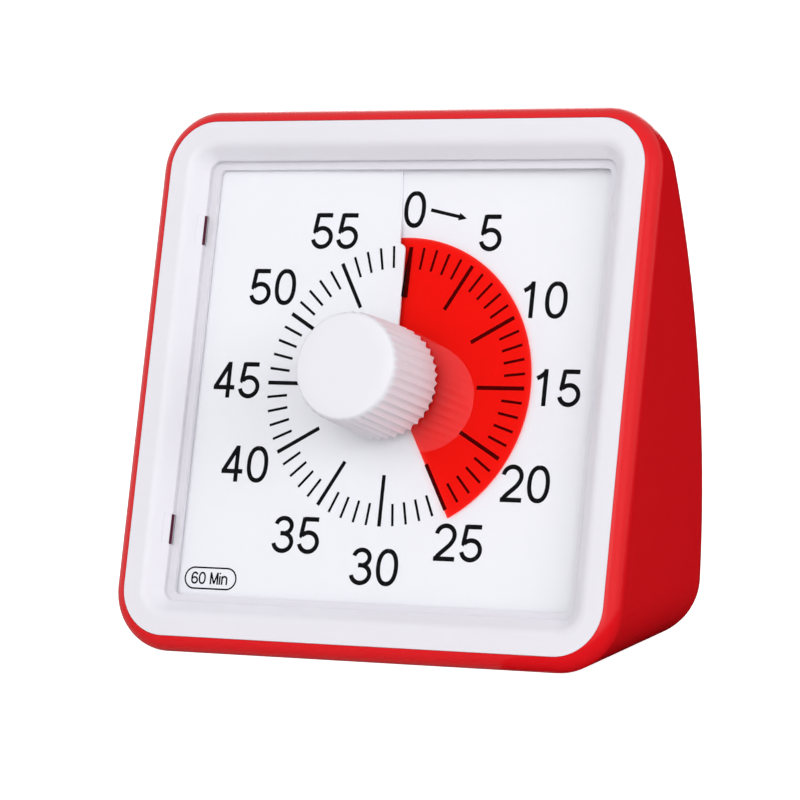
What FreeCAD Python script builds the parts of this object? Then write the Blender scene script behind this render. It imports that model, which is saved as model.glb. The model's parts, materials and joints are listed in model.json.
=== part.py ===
"""Visual countdown timer: construction model, one STEP file for each piece.

Millimetres, Z up, the dial looks toward -Y and leans back. Pieces that belong to the dial
are drawn in the face frame (x to the right, y up the dial, z toward the viewer, zero at the
dial centre) and then placed; the case body, battery bay, sounder and switch are drawn
standing, measured from the dial centre.
"""
import FreeCAD
import Part
import math
import os

V = FreeCAD.Vector

# Overall form of the case
FACE_SIDE = 140.0
FACE_LEAN = 18.0
CORNER_R = 15.8
LIP_FRONT = 8.6
LIP_WIDE = 4.1
LIP_ROUND = 4.4
BACK_DEPTH = 35.6
BACK_APEX_Z = -12.0
BACK_RIM = 0.5
REAR_EDGE_R = 6.0
LIP_BAND = 3.4
SIDE_WALL = 2.7
BACK_WALL = 2.5

# Dial, film disc and knob
HELIX_PITCH = 1.8
CARD_T = 0.5
FILM_T = 0.3
FILM_R = 38.0
SET_ANGLE = 150.0
CARD_LAP = 0.1
CARD_BORE_R = 11.5
KNOB_BASE_R = 14.6
KNOB_TOP_R = 13.9
KNOB_BASE_Z = 4.8
KNOB_FRONT = 27.4
KNOB_EDGE_R = 0.9
KNURLS = 40
KNURL_DEPTH = 0.7

# Frame opening and lens
BORDER = 12.8
OPENING_R = 3.0
OPENING_FRONT = 4.2
LENS_T = 1.7
LENS_LEDGE = 2.0
WINDOW_R = 1.5
FRAME_FRONT = 8.4
FRAME_REAR = 1.25
FRAME_SLOPE = 50.0
FRAME_ROLL_R = 3.4
SLOT_V = 38.9
SLOT_LEN = 7.7
SLOT_DEEP = 1.4

# Battery, a common single cell
CELL_R = 7.1
CELL_LEN = 49.0

# Named clearances
FRAME_GAP = 0.1
SEAT_GAP = 0.03
RUN_GAP = 0.1
DOOR_GAP = 0.3
SCREW_GAP = 0.05

# Values that follow from those above
COS = math.cos(math.radians(FACE_LEAN))
SIN = math.sin(math.radians(FACE_LEAN))
HALF = FACE_SIDE / 2
OPENING_HALF = HALF - BORDER
CARD_HALF = OPENING_HALF + CARD_LAP
WINDOW_HALF = OPENING_HALF - LENS_LEDGE
SLOT_OUT = OPENING_HALF + SLOT_DEEP
CENTRE_Z = HALF * COS - LIP_WIDE * SIN
FRONT_REACH = KNOB_FRONT * COS + (KNOB_TOP_R - KNOB_EDGE_R) * SIN
CENTRE_Y = (FRONT_REACH - BACK_DEPTH) / 2
TOP_Z = HALF * COS + LIP_WIDE * SIN
TOP_Y = HALF * SIN - LIP_WIDE * COS + BACK_RIM
ARC_RISE = TOP_Z - BACK_APEX_Z
ARC_SAG = BACK_DEPTH - TOP_Y
BACK_R = (ARC_RISE ** 2 + ARC_SAG ** 2) / (2 * ARC_SAG)
FLOOR_Z = LIP_WIDE * SIN - (HALF - SIDE_WALL) * COS

FACE_PLACE = FreeCAD.Placement(V(0, CENTRE_Y, CENTRE_Z), FreeCAD.Rotation(V(1, 0, 0), 90 - FACE_LEAN))
STAND_PLACE = FreeCAD.Placement(V(0, CENTRE_Y, CENTRE_Z), FreeCAD.Rotation())


def rounded_wire(half_x, half_y, radius, z, cx=0.0, cy=0.0):
    """Closed outline of a rectangle with round corners in a plane of constant z."""
    edges = []
    mid = radius * math.sqrt(0.5)
    kx = half_x - radius
    ky = half_y - radius
    for sx, sy in ((1, 1), (-1, 1), (-1, -1), (1, -1)):
        start = V(cx + sx * half_x, cy + sy * ky, z)
        end = V(cx + sx * kx, cy + sy * half_y, z)
        middle = V(cx + sx * (kx + mid), cy + sy * (ky + mid), z)
        if sx * sy < 0:
            start, end = end, start
        edges.append(Part.Arc(start, middle, end).toShape())
    loop = []
    for i in range(4):
        loop.append(edges[i])
        here = edges[i].Vertexes[-1].Point
        after = edges[(i + 1) % 4].Vertexes[0].Point
        loop.append(Part.LineSegment(here, after).toShape())
    return Part.Wire(loop)


def slab(half, radius, z0, z1):
    """Square plate with round corners between two depths."""
    return Part.Face(rounded_wire(half, half, radius, z0)).extrude(V(0, 0, z1 - z0))


def plate(x0, x1, y0, y1, z0, z1, radius):
    """Rectangular plate with round corners between two depths."""
    wire = rounded_wire((x1 - x0) / 2, (y1 - y0) / 2, radius, z0, (x0 + x1) / 2, (y0 + y1) / 2)
    return Part.Face(wire).extrude(V(0, 0, z1 - z0))


def block(x0, x1, y0, y1, z0, z1):
    return Part.makeBox(x1 - x0, y1 - y0, z1 - z0, V(x0, y0, z0))


def rod(x, y, z0, z1, radius):
    return Part.makeCylinder(radius, z1 - z0, V(x, y, z0))


def tube(x, y, z0, z1, outer, inner):
    return rod(x, y, z0, z1, outer).cut(rod(x, y, z0 - 1, z1 + 1, inner))


def rod_between(a, b, radius):
    return Part.makeCylinder(radius, (b - a).Length, a, b - a)


def fused(shapes):
    first = shapes[0]
    return first.fuse(shapes[1:]).removeSplitter()


def on_face(shape):
    """Place a piece drawn in the face frame."""
    out = shape.copy()
    out.Placement = FACE_PLACE.multiply(out.Placement)
    return out


def standing(shape):
    """Place a piece drawn standing and measured from the dial centre."""
    out = shape.copy()
    out.Placement = STAND_PLACE.multiply(out.Placement)
    return out


def face_point(x, y, z):
    """Point of the face frame, given in the standing frame of the dial centre."""
    return V(x, -z * COS + y * SIN, z * SIN + y * COS)


def save(name, shapes):
    shape = shapes[0] if len(shapes) == 1 else Part.makeCompound(shapes)
    print(name, len(shape.Solids), shape.isValid(), round(shape.Volume, 1))
    shape.exportStep("parts/" + name + ".step")


def back_drum(inset):
    """Large cylinder across the case whose surface is the rear face, or one set inside it."""
    centre = V(-100, BACK_DEPTH - BACK_R, BACK_APEX_Z)
    return Part.makeCylinder(BACK_R - inset, 200, centre, V(1, 0, 0))


def swept_back(inset):
    """The outline of the case at its widest line, carried straight back."""
    wire = rounded_wire(HALF - inset, HALF - inset, CORNER_R - inset, LIP_WIDE)
    face = Part.Face(wire)
    face.Placement = FreeCAD.Placement(V(0, 0, 0), FACE_PLACE.Rotation)
    return face.extrude(V(0, 2 * BACK_DEPTH, 0))


def tilt(shape):
    """Turn a piece of the face frame without the shift to its standing height."""
    out = shape.copy()
    out.Placement = FreeCAD.Placement(V(0, 0, 0), FACE_PLACE.Rotation).multiply(out.Placement)
    return out


def on_drum(point, radius):
    dy = point.y - (BACK_DEPTH - BACK_R)
    dz = point.z - BACK_APEX_Z
    return abs(math.hypot(dy, dz) - radius) < 1e-3


def rounded_body():
    """Case body behind the lip with its rear edge rounded."""
    body = swept_back(0.0).common(back_drum(0.0))
    rear = [e for e in body.Edges if all(on_drum(p, BACK_R) for p in e.discretize(5))]
    return body.makeFillet(REAR_EDGE_R, rear)


# Case
LEDGE_FRONT = 3.1
LEDGE_REAR = 1.2
LEDGE_HALF = HALF - 5.7
POCKET_HALF = HALF - LIP_BAND
POCKET_R = CORNER_R - LIP_BAND

DOOR_X = 31.0
DOOR_HIGH = 15.2
DOOR_Z0 = FLOOR_Z + 3.6
DOOR_Z1 = DOOR_Z0 + DOOR_HIGH
SOUNDER_X = -47.0
SOUNDER_Z = 5.0
SWITCH_X = 38.0
SWITCH_Z = -5.0
SWITCH_TRAVEL = 4.0
GRILLE_SLOTS = 5
GRILLE_STEP = 4.0
GRILLE_WIDE = 1.6
GRILLE_REACH = 7.0
SWITCH_DIP = 1.1

lip = slab(HALF, CORNER_R, LIP_WIDE, LIP_FRONT)
lip_edges = [e for e in lip.Edges if all(abs(v.Point.z - LIP_FRONT) < 1e-6 for v in e.Vertexes)]
lip = lip.makeFillet(LIP_ROUND, lip_edges)
outer = rounded_body().fuse(tilt(lip)).removeSplitter()

pocket = tilt(slab(POCKET_HALF, POCKET_R, LEDGE_FRONT, LIP_FRONT + 1)).common(back_drum(BACK_WALL))
ledge_hole = tilt(slab(LEDGE_HALF, POCKET_R - 2.2, LEDGE_REAR - 0.1, LEDGE_FRONT + 0.1))
ledge_hole = ledge_hole.common(back_drum(BACK_WALL))
behind = tilt(block(-100, 100, -120, 120, -120, LEDGE_REAR))
hollow = swept_back(SIDE_WALL).common(back_drum(BACK_WALL)).common(behind)
housing = outer.cut([pocket, ledge_hole, hollow])

door_hole = block(-DOOR_X, DOOR_X, 15, 60, DOOR_Z0, DOOR_Z1)
grille = []
for i in range(GRILLE_SLOTS):
    from_middle = i - (GRILLE_SLOTS - 1) / 2
    x = SOUNDER_X + from_middle * GRILLE_STEP
    reach = GRILLE_REACH - 1.5 * abs(from_middle)
    x0 = x - GRILLE_WIDE / 2
    grille.append(block(x0, x0 + GRILLE_WIDE, 20, 60, SOUNDER_Z - reach, SOUNDER_Z + reach))
switch_slot = block(SWITCH_X - 4.2, SWITCH_X + 4.2, 20, 60, SWITCH_Z - 1.7, SWITCH_Z + 1.7)
dip_y = BACK_DEPTH - SWITCH_DIP
switch_dip = block(SWITCH_X - 6.5, SWITCH_X + 6.5, dip_y, 60, SWITCH_Z - 3.6, SWITCH_Z + 3.6)
housing = housing.cut([door_hole, switch_slot, switch_dip] + grille)

# White front frame
slope = math.tan(math.radians(FRAME_SLOPE))
spread = (FRAME_FRONT - OPENING_FRONT) / slope
LOWER_HALF = LEDGE_HALF - 0.2
LENS_REAR = OPENING_FRONT - LENS_T

frame = slab(POCKET_HALF - FRAME_GAP, POCKET_R - FRAME_GAP, LEDGE_FRONT + SEAT_GAP, FRAME_FRONT)
frame = frame.fuse(slab(LOWER_HALF, POCKET_R - 2.4, FRAME_REAR, FRAME_FRONT - 1)).removeSplitter()
mouth_low = rounded_wire(OPENING_HALF, OPENING_HALF, OPENING_R, OPENING_FRONT)
far = spread * 1.2
mouth_half = OPENING_HALF + far
mouth_top = OPENING_FRONT + far * slope
mouth_high = rounded_wire(mouth_half, mouth_half, OPENING_R + far, mouth_top)
mouth = Part.makeLoft([mouth_low, mouth_high], True, True)
frame = frame.cut(mouth)
roll_edges = []
for edge in frame.Edges:
    box = edge.BoundBox
    reach = max(abs(box.XMax), abs(box.XMin), abs(box.YMax), abs(box.YMin))
    if box.ZMin > FRAME_FRONT - 1e-4 and reach < mouth_half:
        roll_edges.append(edge)
frame = frame.makeFillet(FRAME_ROLL_R, roll_edges)
frame = frame.cut(slab(OPENING_HALF, OPENING_R, LENS_REAR, OPENING_FRONT + 0.01))
frame = frame.cut(slab(WINDOW_HALF, WINDOW_R, FRAME_REAR - 1, LENS_REAR + 0.01))
CHANNEL_OUT = HALF - 7.4
CHANNEL_IN = HALF - 10.3
CHANNEL_TOP = 6.4
channel = slab(CHANNEL_OUT, 8.0, FRAME_REAR - 1, CHANNEL_TOP)
channel = channel.cut(slab(CHANNEL_IN, 5.1, FRAME_REAR - 2, CHANNEL_TOP + 1))
frame = frame.cut(channel)

EAR_X = (CHANNEL_OUT + CHANNEL_IN) / 2
EAR_Y = (20.0, -30.0)
BOSS_R = 2.6
BOSS_TOP = 5.6
PILOT_TOP = 4.2
CARRIER_FRONT = -2.7
CARRIER_REAR = -4.2
SCREW_R = 1.15
ears = [(side * EAR_X, y) for side in (-1, 1) for y in EAR_Y]
bosses = [rod(x, y, CARRIER_FRONT + SEAT_GAP, BOSS_TOP, BOSS_R) for x, y in ears]
hooks = []
HOOK_W = 8.0
HOOK_T = 1.2
HOOK_END = -0.4
BARB = 0.9
hook_root = LOWER_HALF - HOOK_T
for y in (-48.0, 0.0, 44.0):
    for side in (-1, 1):
        y0 = y - HOOK_W / 2
        y1 = y + HOOK_W / 2
        stem = block(hook_root, LOWER_HALF, y0, y1, HOOK_END, FRAME_REAR + 0.5)
        barb = block(hook_root, LOWER_HALF + BARB, y0, y1, HOOK_END, LEDGE_REAR - 0.1)
        hook = stem.fuse(barb)
        if side < 0:
            hook = hook.mirror(V(0, 0, 0), V(1, 0, 0))
        hooks.append(hook)
for x in (-30.0, 30.0):
    x0 = x - HOOK_W / 2
    x1 = x + HOOK_W / 2
    stem = block(x0, x1, -LOWER_HALF, -hook_root, HOOK_END, FRAME_REAR + 0.5)
    barb = block(x0, x1, -LOWER_HALF - BARB + 0.1, -hook_root, HOOK_END, LEDGE_REAR - 0.1)
    hooks.append(stem.fuse(barb))
frame = fused([frame] + bosses + hooks)
frame = frame.cut([rod(x, y, CARRIER_FRONT - 1, PILOT_TOP, SCREW_R + SCREW_GAP) for x, y in ears])
slots = []
for side in (-1, 1):
    for y in (-SLOT_V, SLOT_V):
        x0, x1 = sorted((side * (OPENING_HALF - 0.1), side * SLOT_OUT))
        slots.append(block(x0, x1, y - SLOT_LEN / 2, y + SLOT_LEN / 2, FRAME_REAR - 1, 7.5))
frame = frame.cut(slots)
frame = tilt(frame).common(back_drum(BACK_WALL + 0.2))

# Lens, flush with the foot of the frame's slope
STEM_R = 6.8
LENS_BORE_R = 7.5
lens = slab(OPENING_HALF - 0.2, OPENING_R - 0.1, LENS_REAR + SEAT_GAP, OPENING_FRONT)
tabs = []
for side in (-1, 1):
    for y in (-SLOT_V, SLOT_V):
        x0, x1 = sorted((side * (OPENING_HALF - 2), side * (OPENING_HALF + 0.7)))
        tabs.append(block(x0, x1, y - 3.0, y + 3.0, LENS_REAR + 0.1, OPENING_FRONT - 0.3))
lens = fused([lens] + tabs).cut(rod(0, 0, 0, 10, LENS_BORE_R))


def helix_at(radius, start, sweep, z0):
    """Left-handed helix edge, clockwise from the given dial angle and rising toward the viewer."""
    wire = Part.makeHelix(HELIX_PITCH, HELIX_PITCH * sweep / 360.0, radius, 0, True)
    wire.Placement = FreeCAD.Placement(V(0, 0, z0), FreeCAD.Rotation(V(0, 0, 1), 90 - start))
    return wire.Edges[0]


def helicoid(r_in, r_out, start, sweep, z_mid, thick):
    """Sheet that rises one pitch in a turn; z_mid is the height of its middle at the start."""
    low = z_mid - thick / 2
    high = z_mid + thick / 2
    corners = [(r_in, low), (r_out, low), (r_out, high), (r_in, high)]
    paths = [helix_at(r, start, sweep, z) for r, z in corners]
    faces = []
    for i in range(4):
        faces.append(Part.makeRuledSurface(paths[i], paths[(i + 1) % 4]))
    for end in (0, -1):
        points = [p.Vertexes[end].Point for p in paths]
        faces.append(Part.Face(Part.makePolygon(points + [points[0]])))
    shell = Part.makeShell(faces)
    shell.sewShape()
    solid = Part.makeSolid(shell)
    if solid.Volume < 0:
        solid.reverse()
    return solid


def card_height(x, y):
    """Middle of the dial card at a point of the dial."""
    angle = math.degrees(math.atan2(x, y)) % 360.0
    return HELIX_PITCH * (angle / 360.0 - 0.5)


# Dial card: one turn of a shallow screw surface, slit at the top
card = helicoid(CARD_BORE_R, 1.5 * CARD_HALF, 0.0, 360.0, -HELIX_PITCH / 2, CARD_T)
card = card.common(slab(CARD_HALF, 2.5, -3, 3))

# Film disc: the same screw surface half a pitch in front of the card
film_start = SET_ANGLE - 360.0
film_z = HELIX_PITCH * film_start / 360.0
film = helicoid(8.0, FILM_R, film_start, 360.0, film_z, FILM_T)

# Hub under the film, free to slide along the flats of the shaft
SHAFT_R = 4.0
FLAT = 3.2
FLANGE_T = 0.6
HUB_R = 6.0
flange_z = film_z - FILM_T / 2 - SEAT_GAP - FLANGE_T / 2
flange = helicoid(HUB_R - 0.8, 10.4, film_start, 360.0, flange_z, FLANGE_T)
hub = rod(0, 0, -2.2, 1.6, HUB_R).fuse(flange)


def double_flat(radius, flat, z0, z1):
    return rod(0, 0, z0, z1, radius).common(block(-radius, radius, -flat, flat, z0, z1))


hub = hub.cut(double_flat(SHAFT_R + RUN_GAP, FLAT + RUN_GAP, -5, 5))

# Knob: hollow grip with a central socket
WALL = 2.6
SOCKET_TOP = 22.0
profile = [
    V(0, 0, 2.9),
    V(STEM_R, 0, 2.9),
    V(STEM_R, 0, KNOB_FRONT - 6),
    V(KNOB_BASE_R - WALL, 0, KNOB_FRONT - 6),
    V(KNOB_BASE_R - WALL, 0, KNOB_BASE_Z),
    V(KNOB_BASE_R, 0, KNOB_BASE_Z),
    V(KNOB_TOP_R, 0, KNOB_FRONT),
    V(0, 0, KNOB_FRONT),
]
knob = Part.Face(Part.makePolygon(profile + [profile[0]])).revolve(V(0, 0, 0), V(0, 0, 1), 360)
rim = []
for edge in knob.Edges:
    box = edge.BoundBox
    if box.ZMin > KNOB_FRONT - 1e-4 and box.XMax > KNOB_TOP_R - 0.1:
        rim.append(edge)
knob = knob.makeFillet(KNOB_EDGE_R, rim)
GROOVE_R = 1.05
grooves = []
for i in range(KNURLS):
    angle = math.radians((i + 0.5) * 360.0 / KNURLS)
    low_r = KNOB_BASE_R + GROOVE_R - KNURL_DEPTH
    high_r = KNOB_TOP_R + GROOVE_R - KNURL_DEPTH
    low_end = V(low_r * math.cos(angle), low_r * math.sin(angle), KNOB_BASE_Z)
    high_end = V(high_r * math.cos(angle), high_r * math.sin(angle), KNOB_FRONT)
    step = high_end - low_end
    grooves.append(rod_between(low_end - step * 0.1, low_end + step * 1.1, GROOVE_R))
knob = knob.cut(grooves)
knob = knob.cut(double_flat(SHAFT_R + SEAT_GAP, FLAT + SEAT_GAP, 0, SOCKET_TOP + SEAT_GAP))

# Shaft: flats outside, round inside the movement, a pin at the rear end
JOURNAL_R = 3.0
PIN_R = 1.5
COLLAR_Z0 = -7.4
COLLAR_Z1 = -6.6
WHEEL_FRONT = -8.0
WHEEL_REAR = -9.2
shaft = fused([
    double_flat(SHAFT_R, FLAT, -3.0, SOCKET_TOP),
    rod(0, 0, -9.9, -2.9, JOURNAL_R),
    rod(0, 0, COLLAR_Z0, COLLAR_Z1, 5.5),
    rod(0, 0, -17.3, -9.8, PIN_R),
])
clutch_spring = tube(0, 0, WHEEL_FRONT + SEAT_GAP, COLLAR_Z0 - SEAT_GAP, 5.2, JOURNAL_R + RUN_GAP)
clip_groove = tube(0, 0, -9.75, -9.35, 5.0, 2.4)
shaft = shaft.cut(clip_groove)
shaft_clip = tube(0, 0, -9.7, -9.4, 4.4, 2.45).cut(block(-1.4, 1.4, 0, 6, -10, -9))

# Dial carrier: plate behind the card with posts that follow the card's height
PLATE_HALF = CARD_HALF + 0.7
PLATE_TOP = PLATE_HALF - 11.0
LUG_R = 3.1
POST_R = 2.5
POST_IN = 8.0
carrier = plate(-PLATE_HALF, PLATE_HALF, -PLATE_HALF, PLATE_TOP, CARRIER_REAR, CARRIER_FRONT, 4.0)
lugs = [rod(x, y, CARRIER_REAR, CARRIER_FRONT, LUG_R) for x, y in ears]
bridges = []
for x, y in ears:
    x0, x1 = sorted((x, math.copysign(PLATE_HALF - POST_IN, x)))
    bridges.append(block(x0, x1, y - LUG_R, y + LUG_R, CARRIER_REAR, CARRIER_FRONT))
posts = []
post_x = PLATE_HALF - POST_IN
post_low = 6.0 - PLATE_HALF
post_high = PLATE_TOP - 5.0
post_places = [(side * post_x, y) for side in (-1, 1) for y in (post_low, post_high)]
for x, y in post_places + [(0, post_low)]:
    top = card_height(x, y) - CARD_T / 2 - SEAT_GAP
    posts.append(rod(x, y, CARRIER_FRONT - 0.5, top, POST_R))
carrier = fused([carrier] + lugs + bridges + posts)
CASE_X = 31.0
CASE_Y0 = -38.5
CASE_Y1 = 25.0
CASE_FRONT = CARRIER_REAR - SEAT_GAP
CASE_SPLIT = -11.5
CASE_REAR = -19.0
CASE_WALL = 1.5
COLUMN_IN = 3.0
COLUMN_R = 2.9
corners = []
for x in (-CASE_X + COLUMN_IN, CASE_X - COLUMN_IN):
    for y in (CASE_Y0 + COLUMN_IN, CASE_Y1 - COLUMN_IN):
        corners.append((x, y))
holes = [rod(x, y, -10, 0, SCREW_R + SCREW_GAP) for x, y in ears + corners]
HUB_HOLE_R = 12.0
carrier = carrier.cut([rod(0, 0, -10, 0, HUB_HOLE_R)] + holes)

ear_screws = []
for x, y in ears:
    head = rod(x, y, CARRIER_REAR - 1.5, CARRIER_REAR - SEAT_GAP, 2.2)
    cross = block(x - 1.3, x + 1.3, y - 0.25, y + 0.25, CARRIER_REAR - 2, CARRIER_REAR - 1.0)
    ear_screws.append(head.fuse(rod(x, y, CARRIER_REAR - 0.1, 3.8, SCREW_R)).cut(cross))

# Movement case
BRIDGE_FRONT = -9.7
BRIDGE_REAR = -10.5
TOOTH_M = 0.5
OUTPUT_TEETH = 80
THIRD_TEETH = 50
SECOND_TEETH = 40
PINION_TEETH = 10
MESH_3 = 270.0
MESH_2 = 140.0
MESH_1 = 125.0


def apart(centre, teeth, angle):
    """Centre of the pinion's axle that meshes with a wheel of the given teeth."""
    reach = TOOTH_M * (teeth + PINION_TEETH) / 2
    return (
        centre[0] + reach * math.cos(math.radians(angle)),
        centre[1] + reach * math.sin(math.radians(angle)),
    )


THIRD = apart((0.0, 0.0), OUTPUT_TEETH, MESH_3)
SECOND = apart(THIRD, THIRD_TEETH, MESH_2)
ROTOR = apart(SECOND, SECOND_TEETH, MESH_1)


def gear(centre, teeth, z0, z1, tooth_angle):
    """Spur gear with slim straight-sided teeth; one tooth points at tooth_angle."""
    pitch_r = TOOTH_M * teeth / 2
    root_r = pitch_r - 1.2 * TOOTH_M
    tip_r = pitch_r + 0.8 * TOOTH_M
    step = 360.0 / teeth
    points = []
    for i in range(teeth):
        middle = tooth_angle + i * step
        for radius, share in ((root_r, -0.25), (tip_r, -0.09), (tip_r, 0.09), (root_r, 0.25)):
            angle = math.radians(middle + share * step)
            x = centre[0] + radius * math.cos(angle)
            y = centre[1] + radius * math.sin(angle)
            points.append(V(x, y, z0))
    return Part.Face(Part.makePolygon(points + [points[0]])).extrude(V(0, 0, z1 - z0))


def mating(angle, teeth=PINION_TEETH):
    """Tooth direction that puts a gap of the pinion over the tooth that points at it."""
    return angle + 180.0 + 180.0 / teeth


AXLE_R = 0.7
PIVOT_GAP = 0.06
SPOKE_HOLE_R = 4.5
SPOKE_HOLE_AT = 12.5
output_wheel = gear((0, 0), OUTPUT_TEETH, WHEEL_REAR, WHEEL_FRONT, MESH_3)
output_wheel = output_wheel.cut(rod(0, 0, -12, -5, JOURNAL_R + RUN_GAP))
for i in range(4):
    angle = math.radians(45 + 90 * i)
    x = SPOKE_HOLE_AT * math.cos(angle)
    y = SPOKE_HOLE_AT * math.sin(angle)
    output_wheel = output_wheel.cut(rod(x, y, -12, -5, SPOKE_HOLE_R))
third_wheel = fused([
    gear(THIRD, PINION_TEETH, WHEEL_REAR - 0.2, WHEEL_FRONT + 0.2, mating(MESH_3)),
    rod(*THIRD, -12.0, WHEEL_REAR - 0.1, 1.8),
    gear(THIRD, THIRD_TEETH, -12.0, -11.0, MESH_2),
    rod(*THIRD, -17.4, -5.85, AXLE_R),
])
second_wheel = fused([
    gear(SECOND, PINION_TEETH, -12.2, -10.8, mating(MESH_2)),
    rod(*SECOND, -14.0, -12.1, 1.8),
    gear(SECOND, SECOND_TEETH, -14.0, -13.0, MESH_1),
    rod(*SECOND, -17.4, BRIDGE_FRONT, AXLE_R),
])
rotor = fused([
    gear(ROTOR, PINION_TEETH, -14.2, -12.8, mating(MESH_1)),
    rod(*ROTOR, -16.9, -15.0, 3.2),
    rod(*ROTOR, -17.4, BRIDGE_FRONT, AXLE_R),
])


def case_half(z_open, z_floor0, z_floor1):
    """Tray with a floor between two depths and walls up to the open side."""
    low = min(z_open, z_floor0)
    high = max(z_open, z_floor1)
    box = plate(-CASE_X, CASE_X, CASE_Y0, CASE_Y1, low, high, 3.5)
    gap0 = z_floor1 if z_open > z_floor1 else z_open - 1
    gap1 = z_floor0 if z_open < z_floor0 else z_open + 1
    inside = plate(
        -CASE_X + CASE_WALL, CASE_X - CASE_WALL,
        CASE_Y0 + CASE_WALL, CASE_Y1 - CASE_WALL, gap0, gap1, 2.0)
    return box.cut(inside)


BRIDGE_POSTS = ((-26.0, -16.0), (-26.0, 8.0))
floor_front = CASE_FRONT - CASE_WALL
floor_rear = CASE_REAR + CASE_WALL
columns = [rod(x, y, CASE_SPLIT, floor_front + 0.1, COLUMN_R) for x, y in corners]
front_case = case_half(CASE_SPLIT, floor_front, CASE_FRONT)
neck = rod(0, 0, floor_front - 0.3, -3.3, 5.2)
bearing = rod(*THIRD, floor_front - 0.6, floor_front + 0.1, 1.8)
bridge_studs = [rod(x, y, BRIDGE_FRONT + SEAT_GAP, floor_front + 0.1, 2.2) for x, y in BRIDGE_POSTS]
front_case = fused([front_case, neck, bearing] + columns + bridge_studs)
bores = [rod(x, y, -30, 0, SCREW_R + SCREW_GAP) for x, y in corners]
stud_bores = [rod(x, y, -15, floor_front - 0.5, 0.85) for x, y in BRIDGE_POSTS]
third_pivot = rod(*THIRD, -30, -5.8, AXLE_R + PIVOT_GAP)
front_case = front_case.cut(bores + stud_bores + [rod(0, 0, -30, 0, JOURNAL_R + RUN_GAP), third_pivot])

rear_case = case_half(CASE_SPLIT - SEAT_GAP, CASE_REAR, floor_rear)
columns = [rod(x, y, floor_rear - 0.1, CASE_SPLIT - SEAT_GAP, COLUMN_R) for x, y in corners]
BOARD_FRONT = -13.6
BOARD_REAR = -14.6
BOARD_PEGS = ((22.0, -28.0), (9.0, 5.0))
seats = [rod(*axle, floor_rear - 0.1, -17.2, 1.8) for axle in (THIRD, SECOND, ROTOR)]
pegs = [rod(x, y, floor_rear - 0.1, BOARD_REAR - SEAT_GAP, 1.8) for x, y in BOARD_PEGS]
pegs += [rod(x, y, floor_rear - 0.1, BOARD_FRONT + 0.8, 0.7) for x, y in BOARD_PEGS]
rear_case = fused([rear_case, rod(0, 0, floor_rear - 0.1, -12.0, 4.0)] + columns + seats + pegs)
pivots = [rod(*axle, -17.55, -17, AXLE_R + PIVOT_GAP) for axle in (THIRD, SECOND, ROTOR)]
LEAD_HOLES = ((24.0, -12.0), (24.0, 2.0), (24.0, -24.0))
exits = [rod(x, y, -30, -16, 2.2) for x, y in LEAD_HOLES]
rear_case = rear_case.cut(bores + pivots + exits + [rod(0, 0, -17.5, 0, PIN_R + PIVOT_GAP)])

bridge = plate(-29.2, -6.5, -19.0, 11.0, BRIDGE_REAR, BRIDGE_FRONT, 1.5)
bridge = bridge.cut([rod(*axle, -11, -9, AXLE_R + PIVOT_GAP) for axle in (SECOND, ROTOR)])
bridge = bridge.cut([rod(x, y, -11, -9, 0.85) for x, y in BRIDGE_POSTS])
bridge = bridge.cut([rod(*THIRD, -11, -9, 3.6)])
bridge_screws = []
for x, y in BRIDGE_POSTS:
    head = rod(x, y, BRIDGE_REAR - 1.0, BRIDGE_REAR - SEAT_GAP, 1.6)
    bridge_screws.append(head.fuse(rod(x, y, BRIDGE_REAR - 0.1, floor_front - 0.6, 0.8)))

case_screws = []
for x, y in corners:
    head = rod(x, y, CASE_REAR - 1.3, CASE_REAR - SEAT_GAP, 2.1)
    cross = block(x - 1.3, x + 1.3, y - 0.25, y + 0.25, CASE_REAR - 2, CASE_REAR - 0.8)
    case_screws.append(head.fuse(rod(x, y, CASE_REAR - 0.1, CARRIER_FRONT - 0.1, SCREW_R)).cut(cross))

# Motor: stator plate with core, bobbin and winding
COIL_Y = 16.0
COIL_Z = -13.8
stator = fused([
    block(-24.0, -13.6, -8.0, 18.0, -16.4, -15.6),
    block(-24.0, -20.0, COIL_Y - 1.2, COIL_Y + 1.2, -15.7, COIL_Z + 1.2),
    block(-24.0, 9.0, COIL_Y - 1.2, COIL_Y + 1.2, COIL_Z - 1.2, COIL_Z + 1.2),
    block(7.0, 9.0, COIL_Y - 1.2, COIL_Y + 1.2, floor_rear + SEAT_GAP, COIL_Z),
])
stator = stator.cut(rod(*ROTOR, -18, -10, 3.7))
stator_feet = [rod(x, y, floor_rear - 0.1, -16.4 - SEAT_GAP, 1.6) for x, y in ((-22, 4), (-16, 14))]
rear_case = fused([rear_case] + stator_feet)


def along_x(x0, x1, radius):
    return Part.makeCylinder(radius, x1 - x0, V(x0, COIL_Y, COIL_Z), V(1, 0, 0))


square = block(-20, 20, COIL_Y - 1.3, COIL_Y + 1.3, COIL_Z - 1.3, COIL_Z + 1.3)
bobbin = fused([along_x(-12, 5, 2.2), along_x(-12, -11, 3.5), along_x(4, 5, 3.5)]).cut(square)
winding = along_x(-10.95, 3.95, 3.25).cut(along_x(-12, 5, 2.2 + SEAT_GAP))

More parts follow.
